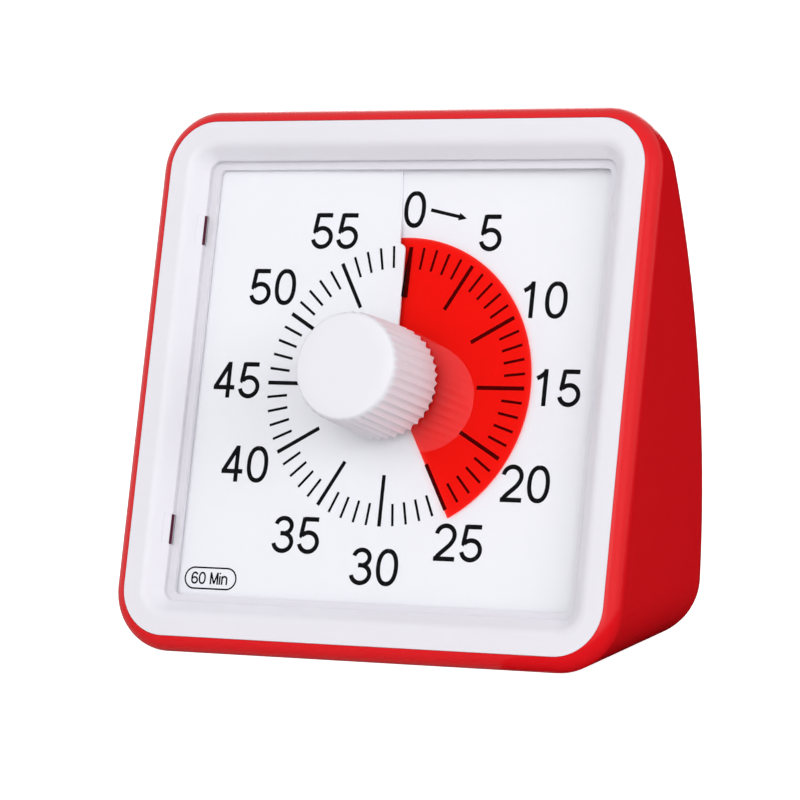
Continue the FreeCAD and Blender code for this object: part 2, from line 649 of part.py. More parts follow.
# Circuit board with its parts
board = plate(6.5, 27.5, -31.0, 10.0, BOARD_REAR, BOARD_FRONT, 1.0)
board = board.cut([rod(x, y, -16, -12, 0.8) for x, y in BOARD_PEGS])
board = board.cut([rod(x + dx, y, -16, -12, 0.6) for x, y in LEAD_HOLES for dx in (-1, 1)])
chip = fused([
    block(16.0, 20.0, -12.0, -7.0, BOARD_FRONT + 0.25, BOARD_FRONT + 1.6),
])
for i in range(4):
    y = -11.4 + i * 1.27
    for x0, x1 in ((14.8, 16.1), (19.9, 21.2)):
        chip = chip.fuse(block(x0, x1, y - 0.2, y + 0.2, BOARD_FRONT + SEAT_GAP, BOARD_FRONT + 0.5))
chip = chip.removeSplitter()
crystal = Part.makeCylinder(1.0, 6.0, V(15.0, -1.0, BOARD_FRONT + 1.0 + SEAT_GAP), V(1, 0, 0))
for y in (-1.4, -0.6):
    crystal = crystal.fuse(block(13.2, 15.1, y - 0.15, y + 0.15, BOARD_FRONT + SEAT_GAP, BOARD_FRONT + 0.9))
crystal = crystal.removeSplitter()

# Battery bay, standing, in the lower rear of the case
CELL_Y = BACK_DEPTH - 15.8
CELL_Z = (DOOR_Z0 + DOOR_Z1) / 2
CELL_X0 = -22.0
BAY_WALL = 1.4
CELL_GAP = 0.3
bay_z0 = CELL_Z - CELL_R - CELL_GAP
bay_z1 = CELL_Z + CELL_R + CELL_GAP
bay_y0 = CELL_Y - CELL_R - CELL_GAP + 0.1
bay = block(-DOOR_X, DOOR_X, bay_y0 - BAY_WALL, 40, bay_z0 - BAY_WALL, bay_z1 + BAY_WALL)
bay = bay.cut(block(-DOOR_X + BAY_WALL, DOOR_X - BAY_WALL, bay_y0, 50, bay_z0, bay_z1))
feet = [block(x - 3, x + 3, bay_y0 + 2, bay_y0 + 14, FLOOR_Z + SEAT_GAP, bay_z0 - 0.5) for x in (-22, 22)]
tab_slots = []
for x in (-DOOR_X, DOOR_X):
    tab_slots.append(block(x - 2.5, x + 2.5, CELL_Y - 2.2, CELL_Y + 2.2, bay_z1 - 0.5, bay_z1 + 3))
bay = fused([bay] + feet).common(back_drum(BACK_WALL + SEAT_GAP)).cut(tab_slots)

cell = Part.makeCylinder(CELL_R, CELL_LEN, V(CELL_X0, CELL_Y, CELL_Z), V(1, 0, 0))
cell_rims = [e for e in cell.Edges if len(e.Vertexes) == 1 or e.Closed]
cell = cell.makeFillet(0.7, [e for e in cell_rims if e.Length > 30 and abs(e.BoundBox.XLength) < 0.1])
nub = Part.makeCylinder(2.75, 1.3, V(CELL_X0 + CELL_LEN - 0.1, CELL_Y, CELL_Z), V(1, 0, 0))
cell = cell.fuse(nub).removeSplitter()

inner_x = DOOR_X - BAY_WALL
plus_x = inner_x - SEAT_GAP
contact = fused([
    block(plus_x - 0.4, plus_x, CELL_Y - 4, CELL_Y + 4, CELL_Z - 4, bay_z1 - 1),
    block(plus_x - 0.4, plus_x, CELL_Y - 1.8, CELL_Y + 1.8, CELL_Z, bay_z1 + 3.0),
])
bump = Part.makeSphere(1.6, V(plus_x - 0.4 + 1.3, CELL_Y, CELL_Z))
bump = bump.common(block(plus_x - 3, plus_x - 0.2, CELL_Y - 3, CELL_Y + 3, CELL_Z - 3, CELL_Z + 3))
contact = contact.fuse(bump).removeSplitter()
minus_x = -inner_x + SEAT_GAP
spring_len = CELL_X0 - SEAT_GAP - minus_x - 0.4
coil_path = Part.makeHelix(spring_len / 4.0, spring_len - 0.8, 3.6)
ring = Part.Wire(Part.makeCircle(0.4, V(3.6, 0, 0), V(0, 1, 0)))
coil = coil_path.makePipeShell([ring], True, True)
coil.Placement = FreeCAD.Placement(V(minus_x + 0.7, CELL_Y, CELL_Z), FreeCAD.Rotation(V(0, 1, 0), 90))
spring = fused([
    block(minus_x, minus_x + 0.4, CELL_Y - 5, CELL_Y + 5, CELL_Z - 5, bay_z1 - 1),
    block(minus_x, minus_x + 0.4, CELL_Y - 1.8, CELL_Y + 1.8, CELL_Z, bay_z1 + 3.0),
]).fuse(coil).removeSplitter()

# Battery door: the missing piece of the rear wall, with a ribbed patch for the thumb
door_box = block(
    -DOOR_X + DOOR_GAP, DOOR_X - DOOR_GAP, 20, 60, DOOR_Z0 + DOOR_GAP, DOOR_Z1 - DOOR_GAP)
door = back_drum(0.0).cut(back_drum(BACK_WALL)).common(door_box)
grips = []
for i in range(5):
    z = DOOR_Z0 + 4.0 + i * 1.8
    edge_y = BACK_DEPTH - (BACK_APEX_Z - z) ** 2 / (2 * BACK_R)
    grips.append(block(-8, 8, edge_y - 0.5, edge_y + 3, z - 0.4, z + 0.4))
door = door.cut(grips)

# Sounder: thin disc held in a ring against the rear wall
RING_R = 15.0
DISC_R = 13.5
DISC_T = 0.3
CERAMIC_R = 10.0
CERAMIC_T = 0.25
sounder_y = BACK_DEPTH - 6.8
disc_y = sounder_y + 1.45
holder = Part.makeCylinder(RING_R, 8, V(SOUNDER_X, sounder_y, SOUNDER_Z), V(0, 1, 0))
seat_r = DISC_R + RUN_GAP + 0.1
holder = holder.cut(Part.makeCylinder(seat_r, 2.0, V(SOUNDER_X, sounder_y - 0.2, SOUNDER_Z), V(0, 1, 0)))
open_r = DISC_R - 1.2
holder = holder.cut(Part.makeCylinder(open_r, 10, V(SOUNDER_X, sounder_y - 1, SOUNDER_Z), V(0, 1, 0)))
holder = holder.common(back_drum(BACK_WALL + 2 * SEAT_GAP))
sounder = Part.makeCylinder(DISC_R, DISC_T, V(SOUNDER_X, disc_y, SOUNDER_Z), V(0, 1, 0))
ceramic = Part.makeCylinder(CERAMIC_R, CERAMIC_T, V(SOUNDER_X, disc_y - CERAMIC_T, SOUNDER_Z), V(0, 1, 0))

# Sound switch: body behind the wall, slider with its tip in the recess
sx = SWITCH_X
sz = SWITCH_Z
sy = BACK_DEPTH - 9.2
switch_body = block(sx - 7, sx + 7, sy, sy + 20, sz - 3.5, sz + 3.5).common(back_drum(BACK_WALL + SEAT_GAP))
switch_body = switch_body.cut(block(sx - 4.5, sx + 4.5, sy + 2.2, sy + 20, sz - 2.0, sz + 2.0))
pins = [block(sx + d - 0.4, sx + d + 0.4, sy - 2.0, sy + 0.2, sz - 0.3, sz + 0.3) for d in (-4, 0, 4)]
switch_body = fused([switch_body] + pins)
rest_x = sx - SWITCH_TRAVEL / 2
slider = fused([
    block(rest_x - 2.2, rest_x + 2.2, sy + 2.5, sy + 6.2, sz - 1.7, sz + 1.7),
    block(rest_x - 1.8, rest_x + 1.8, sy + 6.1, sy + 8.7, sz - 1.35, sz + 1.35),
])


# Leads
LEAD_R = 0.55


def lead(points):
    shapes = [rod_between(a, b, LEAD_R) for a, b in zip(points[:-1], points[1:])]
    shapes += [Part.makeSphere(LEAD_R, p) for p in points[1:-1]]
    return fused(shapes)


def inward(hole, dx, depth):
    return face_point(hole[0] + dx, hole[1], depth)


battery_hole, switch_hole, sounder_hole = LEAD_HOLES[2], LEAD_HOLES[0], LEAD_HOLES[1]
end_z = BOARD_REAR - 0.1
battery_leads = [
    lead([
        V(plus_x - 0.2, CELL_Y, bay_z1 + 3.6),
        V(plus_x - 0.2, CELL_Y + 2, bay_z1 + 6.0),
        inward(battery_hole, 1, -22.0),
        inward(battery_hole, 1, end_z),
    ]),
    lead([
        V(minus_x + 0.2, CELL_Y, bay_z1 + 3.6),
        V(minus_x + 0.2, CELL_Y + 2, bay_z1 + 6.0),
        inward(battery_hole, -1, -22.0) + V(-8, 0, -2),
        inward(battery_hole, -1, -21.5),
        inward(battery_hole, -1, end_z),
    ]),
]
switch_leads = [
    lead([V(sx - 4, sy - 2.6, sz), inward(switch_hole, 1, -21.0), inward(switch_hole, 1, end_z)]),
    lead([V(sx + 4, sy - 2.6, sz), V(sx - 8, sy - 1.5, sz - 9), inward(switch_hole, -1, -22.4),
          inward(switch_hole, -1, end_z)]),
]
sounder_leads = []
for dy in (-1.2, 1.2):
    above = (sounder_hole[0], sounder_hole[1] + dy)
    sounder_leads.append(lead([
        V(SOUNDER_X + 6, sounder_y + 0.5, SOUNDER_Z + dy),
        V(SOUNDER_X + 15.5, sounder_y - 0.8, SOUNDER_Z + dy),
        inward(above, 0, -21.2),
        inward(above, 0, end_z),
    ]))

os.makedirs("parts", exist_ok=True)
save("rear_housing", [standing(housing)])
save("front_frame", [standing(frame)])
save("lens", [on_face(lens)])
save("dial_card", [on_face(card)])
save("time_disc", [on_face(film)])
save("disc_hub", [on_face(hub)])
save("knob", [on_face(knob)])
save("knob_shaft", [on_face(shaft)])
save("shaft_clip", [on_face(shaft_clip)])
save("clutch_spring", [on_face(clutch_spring)])
save("dial_carrier", [on_face(carrier)])
save("carrier_screws", [on_face(s) for s in ear_screws])
save("movement_front_case", [on_face(front_case)])
save("movement_rear_case", [on_face(rear_case)])
save("movement_screws", [on_face(s) for s in case_screws])
save("gear_bridge", [on_face(bridge)])
save("bridge_screws", [on_face(s) for s in bridge_screws])
save("output_wheel", [on_face(output_wheel)])
save("third_wheel", [on_face(third_wheel)])
save("second_wheel", [on_face(second_wheel)])
save("rotor", [on_face(rotor)])
save("stator", [on_face(stator)])
save("coil_bobbin", [on_face(bobbin)])
save("coil_winding", [on_face(winding)])
save("circuit_board", [on_face(board)])
save("chip", [on_face(chip)])
save("crystal", [on_face(crystal)])
save("battery_bay", [standing(bay)])
save("battery_cell", [standing(cell)])
save("battery_contact", [standing(contact)])
save("battery_spring", [standing(spring)])
save("battery_door", [standing(door)])
save("sounder_holder", [standing(holder)])
save("sounder_disc", [standing(sounder.fuse(ceramic).removeSplitter())])
save("switch_body", [standing(switch_body)])
save("switch_slider", [standing(slider)])
save("battery_leads", [standing(s) for s in battery_leads])
save("switch_leads", [standing(s) for s in switch_leads])
save("sounder_leads", [standing(s) for s in sounder_leads])
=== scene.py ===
# %% [markdown]
# # A visual countdown timer
# A red moulded case holds a white front frame and a clear lens. Behind the lens lies a printed card,
# and a red film turns with the knob to show the minutes that are left. The construction model gives
# every part its shape and place. Here the parts get their finishes, the card gets its print and the
# knob gets its fine ribs.

# %% Load the construction model
import json
import math

import bpy
from mathutils import Matrix, Vector


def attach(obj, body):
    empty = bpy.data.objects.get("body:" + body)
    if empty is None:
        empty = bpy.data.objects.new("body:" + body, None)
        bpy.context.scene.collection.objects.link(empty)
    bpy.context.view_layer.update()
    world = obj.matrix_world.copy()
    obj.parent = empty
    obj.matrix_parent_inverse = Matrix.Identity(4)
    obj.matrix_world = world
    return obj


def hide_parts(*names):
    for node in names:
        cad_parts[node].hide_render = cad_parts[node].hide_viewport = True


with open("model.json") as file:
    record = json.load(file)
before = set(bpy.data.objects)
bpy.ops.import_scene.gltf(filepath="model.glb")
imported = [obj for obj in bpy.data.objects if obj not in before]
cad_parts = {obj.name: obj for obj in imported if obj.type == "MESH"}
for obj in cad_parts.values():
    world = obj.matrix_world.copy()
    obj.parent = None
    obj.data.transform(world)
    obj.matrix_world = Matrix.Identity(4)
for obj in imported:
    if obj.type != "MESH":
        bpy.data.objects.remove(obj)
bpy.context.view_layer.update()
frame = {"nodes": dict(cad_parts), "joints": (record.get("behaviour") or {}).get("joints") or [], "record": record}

nodes = frame["nodes"]
print("parts loaded:", len(nodes))

# %% [markdown]
# The dial leans back, so everything on it is easiest to draw flat, in millimetres, with x to the
# right, y up the dial and z out of it. One matrix then carries it to its place. The knob's joint
# gives the middle of the dial and the direction it faces.

# %% The dial's own axes
MM = 0.001
turn = next(j for j in frame["joints"] if j["name"] == "knob_turn")
middle = Vector(turn["pos_m"])
out = -Vector(turn["axis"]).normalized()
right = Vector((1, 0, 0))
up = out.cross(right)
DIAL = Matrix((right, up, out)).transposed().to_4x4()
DIAL.translation = middle
DIAL_MM = DIAL @ Matrix.Scale(MM, 4)
print("dial middle:", [round(c, 4) for c in middle], "facing:", [round(c, 3) for c in out])

# %% [markdown]
# The photograph was taken from the right and a little above, with a long lens. The camera's place
# and turn are given in the dial's axes, because they were measured from the dial's square.

# %% Camera
across = Vector((0.89077593, 0.10119461, -0.44303261))
down = Vector((0.02146769, -0.98317385, -0.18140648))
ahead = Vector((-0.45393544, 0.15208164, -0.87796002))
turned = Matrix((across, -down, -ahead)).transposed().to_4x4()
turned.translation = Vector((457.7, -156.1, 881.1)) * MM
camera_data = bpy.data.cameras.new("camera")
camera_data.lens = 180.7
camera_data.sensor_width = 36.0
camera_data.clip_end = 20.0
camera = bpy.data.objects.new("camera", camera_data)
bpy.context.scene.collection.objects.link(camera)
camera.matrix_world = DIAL @ turned
bpy.context.scene.camera = camera
print("camera at", [round(c, 3) for c in camera.matrix_world.translation])

# %% [markdown]
# Materials are small graphs of nodes. One function adds a node, sets its values and joins its
# inputs, and another turns a colour as written on a screen into the linear light that shaders use.

# %% Colour and node helpers
def linear(code, alpha=1.0):
    """A screen colour such as "d81c20" as linear light."""
    values = []
    for i in (0, 2, 4):
        c = int(code[i:i + 2], 16) / 255
        values.append(c / 12.92 if c <= 0.04045 else ((c + 0.055) / 1.055) ** 2.4)
    return (*values, alpha)


def add(tree, kind, settings=None, inputs=None):
    """A new node. An input is a value, or another node's socket to join to it."""
    node = tree.nodes.new(kind)
    for name, value in (settings or {}).items():
        setattr(node, name, value)
    for name, value in (inputs or {}).items():
        if isinstance(value, bpy.types.NodeSocket):
            tree.links.new(value, node.inputs[name])
        else:
            node.inputs[name].default_value = value
    return node


def blank(name):
    """A material with nothing but its output."""
    material = bpy.data.materials.new(name)
    material.use_nodes = True
    material.node_tree.nodes.clear()
    return material, material.node_tree, add(material.node_tree, "ShaderNodeOutputMaterial")


print("red on screen d81c20 is", [round(c, 3) for c in linear("d81c20")])

# %% [markdown]
# Most of the object is moulded plastic. Its colour wanders very slightly where the melt cooled
# unevenly, its gloss wanders a little more, and the tool's surface leaves a faint waviness. One
# function makes that surface with the colour, gloss and grain of each plastic.

# %% Moulded plastic
def moulded(name, colour, shade, rough, grain_mm, bump_mm, mirror=0.5):
    """Injection-moulded plastic: a colour and a slightly darker shade of it, a fine grain, a bump."""
    material, tree, end = blank(name)
    place = add(tree, "ShaderNodeTexCoord").outputs["Object"]
    cloud = add(tree, "ShaderNodeTexNoise", {}, {"Vector": place, "Scale": 1 / (28 * MM), "Detail": 2.0})
    fine = add(tree, "ShaderNodeTexNoise", {},
               {"Vector": place, "Scale": 1 / (grain_mm * MM), "Detail": 3.0})
    mix = add(tree, "ShaderNodeMix", {"data_type": "RGBA"}, {"Factor": cloud.outputs["Fac"]})
    mix.inputs["A"].default_value = linear(colour)
    mix.inputs["B"].default_value = linear(shade)
    gloss = add(tree, "ShaderNodeMapRange", {},
                {"Value": fine.outputs["Fac"], "From Min": 0.3, "From Max": 0.7,
                 "To Min": rough * 0.88, "To Max": rough * 1.12})
    bump = add(tree, "ShaderNodeBump", {},
               {"Height": fine.outputs["Fac"], "Distance": bump_mm * MM, "Strength": 1.0})
    shader = add(tree, "ShaderNodeBsdfPrincipled", {},
                 {"Base Color": mix.outputs["Result"], "Roughness": gloss.outputs["Result"],
                  "Normal": bump.outputs["Normal"], "IOR": 1.5, "Specular IOR Level": mirror})
    tree.links.new(shader.outputs["BSDF"], end.inputs["Surface"])
    return material


finish = {}
finish["case_red"] = moulded("abs_red_gloss", "da0f19", "d60e17", 0.2, 1.2, 0.0015, 0.26)
finish["frame_white"] = moulded("abs_white_satin", "e1dfe6", "dedce3", 0.38, 0.9, 0.002, 0.35)
finish["knob_white"] = moulded("abs_white_knob", "e3e2e8", "e0dfe5", 0.4, 0.7, 0.002, 0.35)
finish["hub_white"] = moulded("acetal_white_hub", "eeeeee", "e6e6e4", 0.35, 0.6, 0.002)
finish["shaft_natural"] = moulded("acetal_natural", "e4e0d2", "dcd8c8", 0.33, 0.6, 0.002)
finish["carrier_grey"] = moulded("abs_grey", "b9bcc0", "b0b3b8", 0.42, 0.5, 0.004)
finish["movement_black"] = moulded("abs_black", "1b1c1e", "151618", 0.38, 0.5, 0.004)
finish["gear_cream"] = moulded("acetal_cream", "e9e2cc", "e0d8c0", 0.34, 0.5, 0.002)
print("plastics:", sorted(finish))

# %% [markdown]
# Metals here are thin and plain: rolled or drawn steel, brass sheet and enamelled copper wire. They
# show fine lines along the way they were rolled or drawn, which spread the highlight one way.

# %% Metals
def rolled(name, colour, rough, line_mm, axis_scale, bump_mm):
    """Metal with fine lines. axis_scale squeezes the noise across the lines."""
    material, tree, end = blank(name)
    place = add(tree, "ShaderNodeTexCoord").outputs["Object"]
    drawn = add(tree, "ShaderNodeMapping", {}, {"Vector": place, "Scale": axis_scale})
    lines = add(tree, "ShaderNodeTexNoise", {},
                {"Vector": drawn.outputs["Vector"], "Scale": 1 / (line_mm * MM), "Detail": 4.0})
    gloss = add(tree, "ShaderNodeMapRange", {},
                {"Value": lines.outputs["Fac"], "From Min": 0.3, "From Max": 0.7,
                 "To Min": rough * 0.75, "To Max": rough * 1.3})
    bump = add(tree, "ShaderNodeBump", {},
               {"Height": lines.outputs["Fac"], "Distance": bump_mm * MM, "Strength": 1.0})
    shader = add(tree, "ShaderNodeBsdfPrincipled", {},
                 {"Base Color": linear(colour), "Metallic": 1.0, "Roughness": gloss.outputs["Result"],
                  "Normal": bump.outputs["Normal"]})
    tree.links.new(shader.outputs["BSDF"], end.inputs["Surface"])
    return material


finish["steel"] = rolled("steel_nickel_plated", "c4c3bf", 0.28, 0.25, (1, 6, 6), 0.002)
finish["brass"] = rolled("brass_sheet", "d8b25a", 0.26, 0.25, (1, 6, 6), 0.002)
finish["copper"] = rolled("copper_wire_enamelled", "b8622e", 0.30, 0.18, (1, 1, 9), 0.01)
finish["rotor_dark"] = rolled("ferrite_magnet", "4a4a4e", 0.45, 0.3, (1, 1, 1), 0.003)
print("metals:", [finish[slot].name for slot in ("steel", "brass", "copper", "rotor_dark")])

# %% [markdown]
# The circuit board is glass cloth in green lacquer, so a fine weave shows through. The chip is
# black epoxy. The cell has a printed sleeve, plain here, with a gold band at its plus end.
# The leads are wires in soft PVC.

# %% Board, chip, cell and leads
finish["board_green"] = moulded("solder_mask_green", "1f6b3a", "1b5e34", 0.25, 0.4, 0.006)
finish["chip_black"] = moulded("epoxy_black", "0b0b0e", "08080b", 0.5, 0.3, 0.003)
finish["cell_jacket"] = moulded("cell_sleeve_grey", "3a3f46", "34383f", 0.25, 2.0, 0.001)
finish["lead_red"] = moulded("pvc_red", "c8201e", "bc1c1b", 0.4, 0.4, 0.003)
finish["lead_black"] = moulded("pvc_black", "19191b", "131315", 0.4, 0.4, 0.003)
finish["lead_yellow"] = moulded("pvc_yellow", "e3bb2c", "dab226", 0.4, 0.4, 0.003)
print("small parts done")

# %% [markdown]
# The lens is clear acrylic sheet. Light from the room must reach the dial through it, so it is a
# mix of a see-through shader and a mirror, and Fresnel decides how much of each: about four parts
# in a hundred seen straight on, more at a glancing view. The knob's ghost in it comes from this.
# A lamp's light is let through whole, because in a real sheet what one face turns away the many
# bounces round the recess bring back. Only the face that a ray meets first acts as a mirror: the
# see-through shader doesn't bend light, so the far face would turn a slanting ray back for good.

# %% Clear lens
def clear_sheet(name, ior):
    material, tree, end = blank(name)
    place = add(tree, "ShaderNodeTexCoord").outputs["Object"]
    wave = add(tree, "ShaderNodeTexNoise", {}, {"Vector": place, "Scale": 1 / (35 * MM), "Detail": 1.0})
    bump = add(tree, "ShaderNodeBump", {},
               {"Height": wave.outputs["Fac"], "Distance": 0.004 * MM, "Strength": 1.0})
    fresnel = add(tree, "ShaderNodeFresnel", {}, {"IOR": ior})
    lamp_ray = add(tree, "ShaderNodeLightPath").outputs["Is Shadow Ray"]
    from_inside = add(tree, "ShaderNodeNewGeometry").outputs["Backfacing"]
    clear = add(tree, "ShaderNodeMath", {"operation": "MAXIMUM"})
    tree.links.new(lamp_ray, clear.inputs[0])
    tree.links.new(from_inside, clear.inputs[1])
    seen = add(tree, "ShaderNodeMath", {"operation": "SUBTRACT"})
    seen.inputs[0].default_value = 1.0
    tree.links.new(clear.outputs["Value"], seen.inputs[1])
    share = add(tree, "ShaderNodeMath", {"operation": "MULTIPLY"})
    tree.links.new(fresnel.outputs["Fac"], share.inputs[0])
    tree.links.new(seen.outputs["Value"], share.inputs[1])
    through = add(tree, "ShaderNodeBsdfTransparent", {}, {"Color": (1, 1, 1, 1)})
    mirror = add(tree, "ShaderNodeBsdfGlossy", {},
                 {"Color": (1, 1, 1, 1), "Roughness": 0.03, "Normal": bump.outputs["Normal"]})
    mix = add(tree, "ShaderNodeMixShader", {}, {"Fac": share.outputs["Value"]})
    tree.links.new(through.outputs["BSDF"], mix.inputs[1])
    tree.links.new(mirror.outputs["BSDF"], mix.inputs[2])
    tree.links.new(mix.outputs["Shader"], end.inputs["Surface"])
    return material


finish["lens_clear"] = clear_sheet("acrylic_clear", 1.58)
print("lens done")

# %% [markdown]
# The film is dyed polyester. The print on the card shows dark through it, and the white card turns it bright red,
# because light passes it twice. Its see-through red is set a little above one, so that it gives out more light
# than reaches it: painted light, making up for light lost between card and film. A share of plain red surface
# keeps it a little milky, as the real one is.

# %% Red film
def dyed_film(name, tint_with_painted_gain, surface, share):
    material, tree, end = blank(name)
    place = add(tree, "ShaderNodeTexCoord").outputs["Object"]
    cloud = add(tree, "ShaderNodeTexNoise", {}, {"Vector": place, "Scale": 1 / (18 * MM), "Detail": 2.0})
    gloss = add(tree, "ShaderNodeMapRange", {},
                {"Value": cloud.outputs["Fac"], "To Min": 0.36, "To Max": 0.46})
    through = add(tree, "ShaderNodeBsdfTransparent", {}, {"Color": tint_with_painted_gain})
    body = add(tree, "ShaderNodeBsdfPrincipled", {},
               {"Base Color": linear(surface), "Roughness": gloss.outputs["Result"], "IOR": 1.45,
                "Specular IOR Level": 0.25})
    mix = add(tree, "ShaderNodeMixShader", {}, {"Fac": share})
    tree.links.new(through.outputs["BSDF"], mix.inputs[1])
    tree.links.new(body.outputs["BSDF"], mix.inputs[2])
    tree.links.new(mix.outputs["Shader"], end.inputs["Surface"])
    return material


# The red of 1.085 lets through more light than comes in: a painted brightening of the film.
finish["film_red"] = dyed_film("polyester_film_red", (1.085, 0.33, 0.29, 1), "ff1a14", 0.03)
print("film done")

# %% [markdown]
# The card is bright white board with a smooth print coat, and the print is black ink. Paper has a
# very fine tooth, drawn here coarser than it is so that it shows at all.

# %% Card and ink
finish["card_white"] = moulded("coated_card_white", "eeeef4", "ececf2", 0.5, 0.35, 0.002, 0.2)
ink = moulded("printing_ink_black", "07070c", "050508", 0.6, 0.3, 0.001, 0.08)
print("card and ink done")

# %% [markdown]
# The construction model's record says which finish each part has. Every part gets it by that name.

# %% Give every part its finish
for part in frame["record"]["subparts"]:
    piece = nodes[part["node"]]
    piece.data.materials.clear()
    piece.data.materials.append(finish[part["material_slot"]])

# %% [markdown]
# The card is cut from its centre hole to its top edge, and one side of the cut lies in front of the
# other, so that the film can pass from the front to the back. The whole card is a very shallow
# screw surface, so one radial line with a Screw modifier makes it, and four straight trims make it
# square. The line is first drawn as a plane that loses its face and two of its corners.

# %% The dial card: one turn of a screw
SCREW = 1.8
CARD_HALF = 57.3
CARD_THICK = 0.5
UNDERLAP = 8.0
RADII = (11.5, 14, 17, 20, 24, 28, 32, 34.6, 35.2, 35.6, 35.9, 36.1, 36.25, 36.3, 37, 38, 40, 43,
         47, 52, 58, 66, 82)


def lift(angle):
    """Height of the card's middle at an angle clockwise from the top, in degrees."""
    return SCREW * (angle / 360 - 0.5)


def start_edit(piece):
    """Only this piece selected and open for editing, with nothing selected in it."""
    bpy.ops.object.select_all(action="DESELECT")
    piece.select_set(True)
    bpy.context.view_layer.objects.active = piece
    bpy.ops.object.mode_set(mode="EDIT")
    bpy.ops.mesh.select_all(action="DESELECT")


def pick(piece, kind, test):
    """Selects the vertices, edges or faces whose middle passes the test."""
    bpy.ops.mesh.select_all(action="DESELECT")
    bpy.ops.mesh.select_mode(type={"vertices": "VERT", "edges": "EDGE", "polygons": "FACE"}[kind])
    bpy.ops.object.mode_set(mode="OBJECT")
    points = piece.data.vertices
    for item in getattr(piece.data, kind):
        if kind == "vertices":
            item.select = test(item.co)
        else:
            item.select = test(sum((points[i].co for i in item.vertices), Vector()) / len(item.vertices))
    bpy.ops.object.mode_set(mode="EDIT")


def end_edit():
    bpy.ops.object.mode_set(mode="OBJECT")


def apply_all(piece):
    """Applies the piece's modifiers in their order."""
    bpy.ops.object.select_all(action="DESELECT")
    piece.select_set(True)
    bpy.context.view_layer.objects.active = piece
    for modifier in list(piece.modifiers):
        bpy.ops.object.modifier_apply(modifier=modifier.name)


def place_on_dial(piece):
    """Carries a piece drawn in the dial's millimetres to its place."""
    piece.data.transform(DIAL_MM)
    piece.data.update()


bpy.ops.object.select_all(action="DESELECT")
bpy.ops.mesh.primitive_plane_add(size=2)
card = bpy.context.object
card.name = "dial_card_printed"
start_edit(card)
bpy.ops.mesh.select_all(action="SELECT")
bpy.ops.mesh.delete(type="ONLY_FACE")
pick(card, "vertices", lambda p: p.x > 0)
bpy.ops.mesh.delete(type="VERT")
bpy.ops.mesh.select_all(action="SELECT")
bpy.ops.mesh.subdivide(number_cuts=len(RADII) - 2)
end_edit()
back = math.radians(UNDERLAP)
for point, radius in zip(sorted(card.data.vertices, key=lambda v: v.co.y), RADII):
    point.co = (-radius * math.sin(back), radius * math.cos(back), lift(-UNDERLAP))
print("radial line of", len(card.data.vertices), "points")

# %% Sweep, shape the cut and trim the card
screw = card.modifiers.new("turn", "SCREW")
screw.axis = "Z"
screw.angle = -math.radians(360 + UNDERLAP)
screw.screw_offset = SCREW * (360 + UNDERLAP) / 360
screw.steps = screw.render_steps = 184
screw.use_merge_vertices = False
apply_all(card)
heights = [v.co.z for v in card.data.vertices]
print("card rises from", round(min(heights), 3), "to", round(max(heights), 3), "mm")

# %% [markdown]
# The front side of the cut has a small step where the film's edge comes out, and above the step it
# leans a little to the left. Points near the cut slide sideways to that line, less and less the
# further they are from it.

# %% The line of the cut
CUT = ((10, 0.14), (15.5, 0.14), (34.6, -0.22), (35.2, -0.32), (35.6, -0.52), (35.9, -0.85),
       (36.1, -1.2), (36.25, -1.55), (36.3, -1.77), (55.6, -3.39), (90, -6.3))


def cut_line(y):
    """x of the cut's front edge at a height y above the dial's middle."""
    for (y0, x0), (y1, x1) in zip(CUT, CUT[1:]):
        if y <= y1:
            return x0 + (x1 - x0) * max(0.0, y - y0) / (y1 - y0)
    return CUT[-1][1]


def closing(z, x, y):
    """How far a point near the cut moves back, above the film, so that its two sides meet."""
    gap = abs(math.degrees(math.atan2(x, y)))
    near = max(0.0, 1 - gap / 40)
    above = min(1.0, max(0.0, (math.hypot(x, y) - 39.0) / 4))
    room = (SCREW - CARD_THICK) / 2 - 0.02
    return math.copysign(room, z) * near * near * (3 - 2 * near) * above


for point in card.data.vertices:
    x, y, z = point.co
    point.co.z -= closing(z, x, y)
    gap = math.degrees(math.atan2(-x, y))
    if z > 0 and -0.1 < gap < 16:
        point.co.x += cut_line(math.hypot(x, y)) * (1 - gap / 16)
start_edit(card)
for side in (Vector((1, 0, 0)), Vector((-1, 0, 0)), Vector((0, 1, 0)), Vector((0, -1, 0))):
    bpy.ops.mesh.select_all(action="SELECT")
    bpy.ops.mesh.bisect(plane_co=side * CARD_HALF, plane_no=side, clear_outer=True)
end_edit()
if sum(face.normal.z for face in card.data.polygons) < 0:
    card.data.flip_normals()
board = card.modifiers.new("board", "SOLIDIFY")
board.thickness = CARD_THICK
board.offset = 0
apply_all(card)
bpy.ops.object.shade_smooth_by_angle(angle=math.radians(30))
place_on_dial(card)
card.data.materials.append(finish["card_white"])
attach(card, "case_body")
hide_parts("dial_card")
print("card:", len(card.data.polygons), "faces,", "size", [round(c, 3) for c in card.dimensions])

# %% [markdown]
# The numbers are drawn as a sign writer would, with a pen of constant width. Each figure is a few
# lines and arcs in a box one unit high. A line becomes a round tube with closed ends, the tube is
# pressed flat, and so it is a film of ink. Corners are made of two strokes, so that their
# outsides stay square.

# %% The pen
def arc(cx, cy, rx, ry, a0, a1, square=2.0, count=28):
    """Points of an oval arc. Angles are in degrees from the right; square above 2 fills the corners."""
    points = []
    for i in range(count + 1):
        a = math.radians(a0 + (a1 - a0) * i / count)
        c, s = math.cos(a), math.sin(a)
        points.append((cx + rx * math.copysign(abs(c) ** (2 / square), c),
                       cy + ry * math.copysign(abs(s) ** (2 / square), s)))
    return points


def card_front(x, y):
    """Height of the card's front surface at a point of the dial."""
    angle = math.degrees(math.atan2(x, y))
    if angle < 0 and not (y > 0 and x > cut_line(y)):
        angle += 360
    height = lift(angle)
    return height - closing(height, x, y) + CARD_THICK / 2


